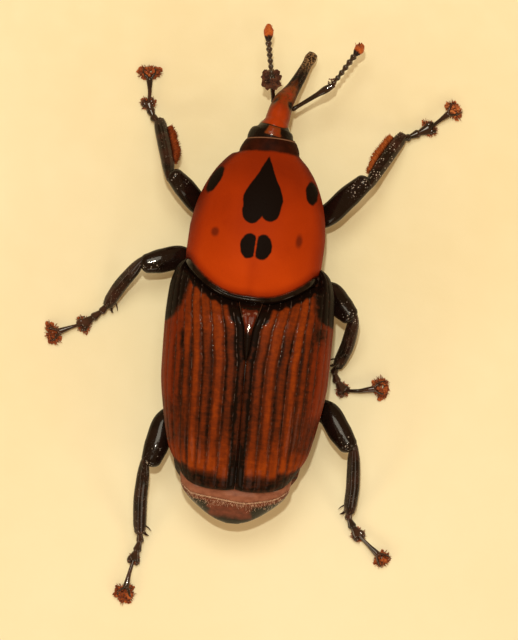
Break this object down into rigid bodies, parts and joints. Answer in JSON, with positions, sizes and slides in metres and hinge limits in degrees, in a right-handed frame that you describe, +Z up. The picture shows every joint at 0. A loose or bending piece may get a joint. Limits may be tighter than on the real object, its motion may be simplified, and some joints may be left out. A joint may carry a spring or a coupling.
{
  "type": "red palm weevil model",
  "caption": "Life-size still model of a red palm weevil standing with splayed legs, curved beak, elbowed feelers and grooved wing covers.",
  "frame": {"origin": "centre of the overall box on the plan, at the floor under the feet", "axes": "+Y towards the head, +X to the animal's right, +Z up from the floor"},
  "size_m": [0.0313, 0.0428, 0.0098],
  "materials": {
    "black_shell": "glossy black chitin",
    "pronotum_shell": "satin orange-red chitin with black spots",
    "wing_cover": "grooved chitin, black striped with orange-brown",
    "maroon_shell": "maroon chitin with fine hair",
    "eye": "glossy black",
    "feeler_club": "orange chitin with felted tip",
    "foot": "dark chitin with rusty bristle pads"
  },
  "bodies": {
    "root": {"abdomen": "black_shell", "antenna_left_club": "feeler_club", "antenna_left_funicle": "black_shell", "antenna_left_scape": "black_shell", "antenna_right_club": "feeler_club", "antenna_right_funicle": "black_shell", "antenna_right_scape": "black_shell", "elytron_left": "wing_cover", "elytron_right": "wing_cover", "eye_left": "eye", "eye_right": "eye", "head": "black_shell", "leg_front_left_claws": "foot", "leg_front_left_coxa": "black_shell", "leg_front_left_femur": "black_shell", "leg_front_left_tarsus": "foot", "leg_front_left_tibia": "black_shell", "leg_front_right_claws": "foot", "leg_front_right_coxa": "black_shell", "leg_front_right_femur": "black_shell", "leg_front_right_tarsus": "foot", "leg_front_right_tibia": "black_shell", "leg_hind_left_claws": "foot", "leg_hind_left_coxa": "black_shell", "leg_hind_left_femur": "black_shell", "leg_hind_left_tarsus": "foot", "leg_hind_left_tibia": "black_shell", "leg_hind_right_claws": "foot", "leg_hind_right_coxa": "black_shell", "leg_hind_right_femur": "black_shell", "leg_hind_right_tarsus": "foot", "leg_hind_right_tibia": "black_shell", "leg_mid_left_claws": "foot", "leg_mid_left_coxa": "black_shell", "leg_mid_left_femur": "black_shell", "leg_mid_left_tarsus": "foot", "leg_mid_left_tibia": "black_shell", "leg_mid_right_claws": "foot", "leg_mid_right_coxa": "black_shell", "leg_mid_right_femur": "black_shell", "leg_mid_right_tarsus": "foot", "leg_mid_right_tibia": "black_shell", "prothorax": "pronotum_shell", "pygidium": "maroon_shell", "scutellum": "maroon_shell", "thorax": "black_shell"}
  },
  "joints": []
}
